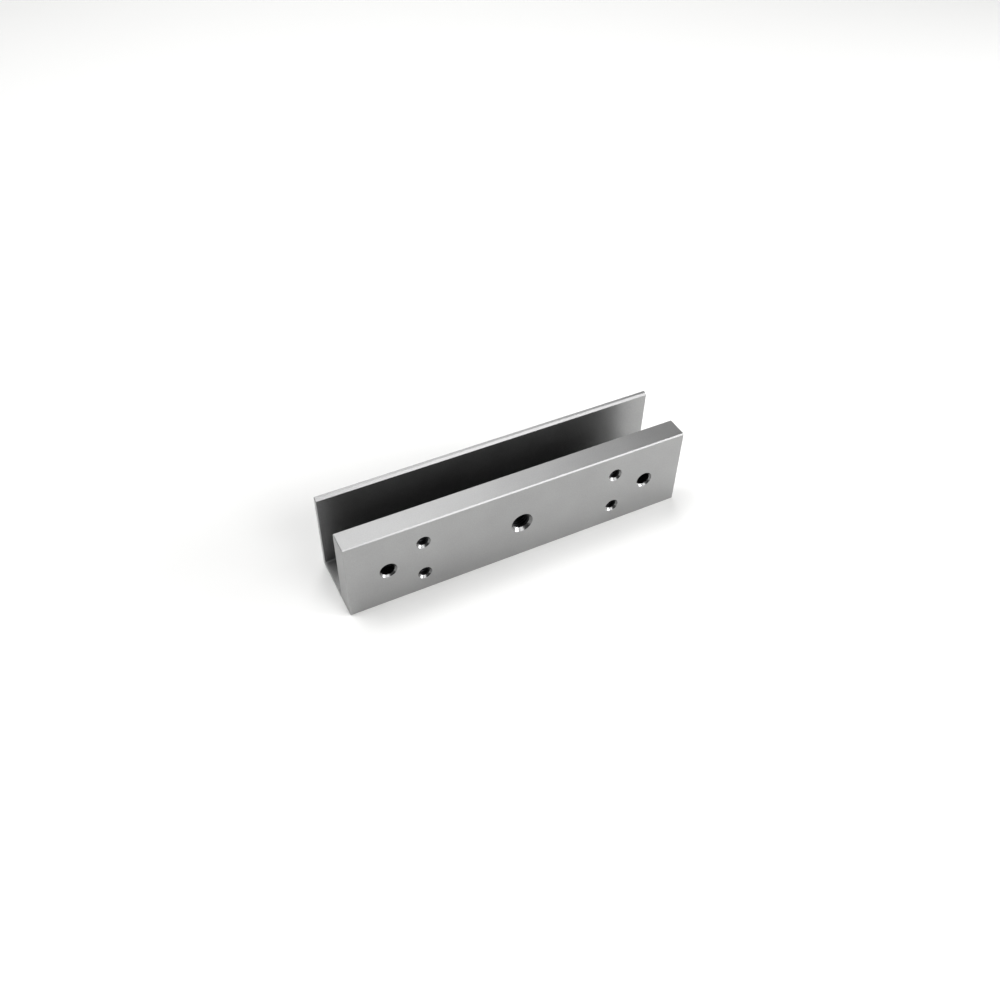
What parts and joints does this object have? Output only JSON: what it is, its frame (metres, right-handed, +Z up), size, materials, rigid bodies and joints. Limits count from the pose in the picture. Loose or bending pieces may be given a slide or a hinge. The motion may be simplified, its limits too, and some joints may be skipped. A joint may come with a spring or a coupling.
{
  "type": "glass door bracket for a magnetic lock",
  "caption": "U-shaped aluminium bracket that clamps onto a frameless glass door and carries a magnetic lock's armature plate, with set screws and a rubber-faced clamp bar.",
  "frame": {"origin": "middle of the channel's underside", "axes": "+X along the channel, -Y out of the face that the armature bolts to, +Z up out of the open side of the channel"},
  "size_m": [0.18, 0.037, 0.0455],
  "materials": {
    "anodised_aluminium": "satin silver anodised",
    "zinc_plated_steel": "zinc plated",
    "black_rubber": "matt",
    "black_oxide_steel": "black oxide"
  },
  "bodies": {
    "bracket": {"bracket_body": "anodised_aluminium"},
    "clamp": {"clamp_bar": "zinc_plated_steel", "clamp_pad": "black_rubber"},
    "set_screw_upper_left": {"set_screw_upper_left": "black_oxide_steel"},
    "set_screw_lower_left": {"set_screw_lower_left": "black_oxide_steel"},
    "set_screw_upper_right": {"set_screw_upper_right": "black_oxide_steel"},
    "set_screw_lower_right": {"set_screw_lower_right": "black_oxide_steel"}
  },
  "joints": [
    {"name": "clamp_travel", "type": "slide", "parent": "bracket", "child": "clamp", "axis": [0, 1, 0], "range_m": [-0.002, 0.00525]},
    {"name": "set_screw_upper_left_turn", "type": "hinge", "parent": "clamp", "child": "set_screw_upper_left", "pos_m": [-0.0515, -0.0155, 0.0325], "axis": [0, 1, 0], "range_deg": [-720, 1890]},
    {"name": "set_screw_lower_left_turn", "type": "hinge", "parent": "clamp", "child": "set_screw_lower_left", "pos_m": [-0.0515, -0.0155, 0.0115], "axis": [0, 1, 0], "range_deg": [-720, 1890]},
    {"name": "set_screw_upper_right_turn", "type": "hinge", "parent": "clamp", "child": "set_screw_upper_right", "pos_m": [0.0515, -0.0155, 0.0325], "axis": [0, 1, 0], "range_deg": [-720, 1890]},
    {"name": "set_screw_lower_right_turn", "type": "hinge", "parent": "clamp", "child": "set_screw_lower_right", "pos_m": [0.0515, -0.0155, 0.0115], "axis": [0, 1, 0], "range_deg": [-720, 1890]}
  ],
  "couplings": [
    {"joint": "set_screw_upper_left_turn", "follows": "clamp_travel", "rad_per_m": 6283.2},
    {"joint": "set_screw_lower_left_turn", "follows": "clamp_travel", "rad_per_m": 6283.2},
    {"joint": "set_screw_upper_right_turn", "follows": "clamp_travel", "rad_per_m": 6283.2},
    {"joint": "set_screw_lower_right_turn", "follows": "clamp_travel", "rad_per_m": 6283.2}
  ]
}
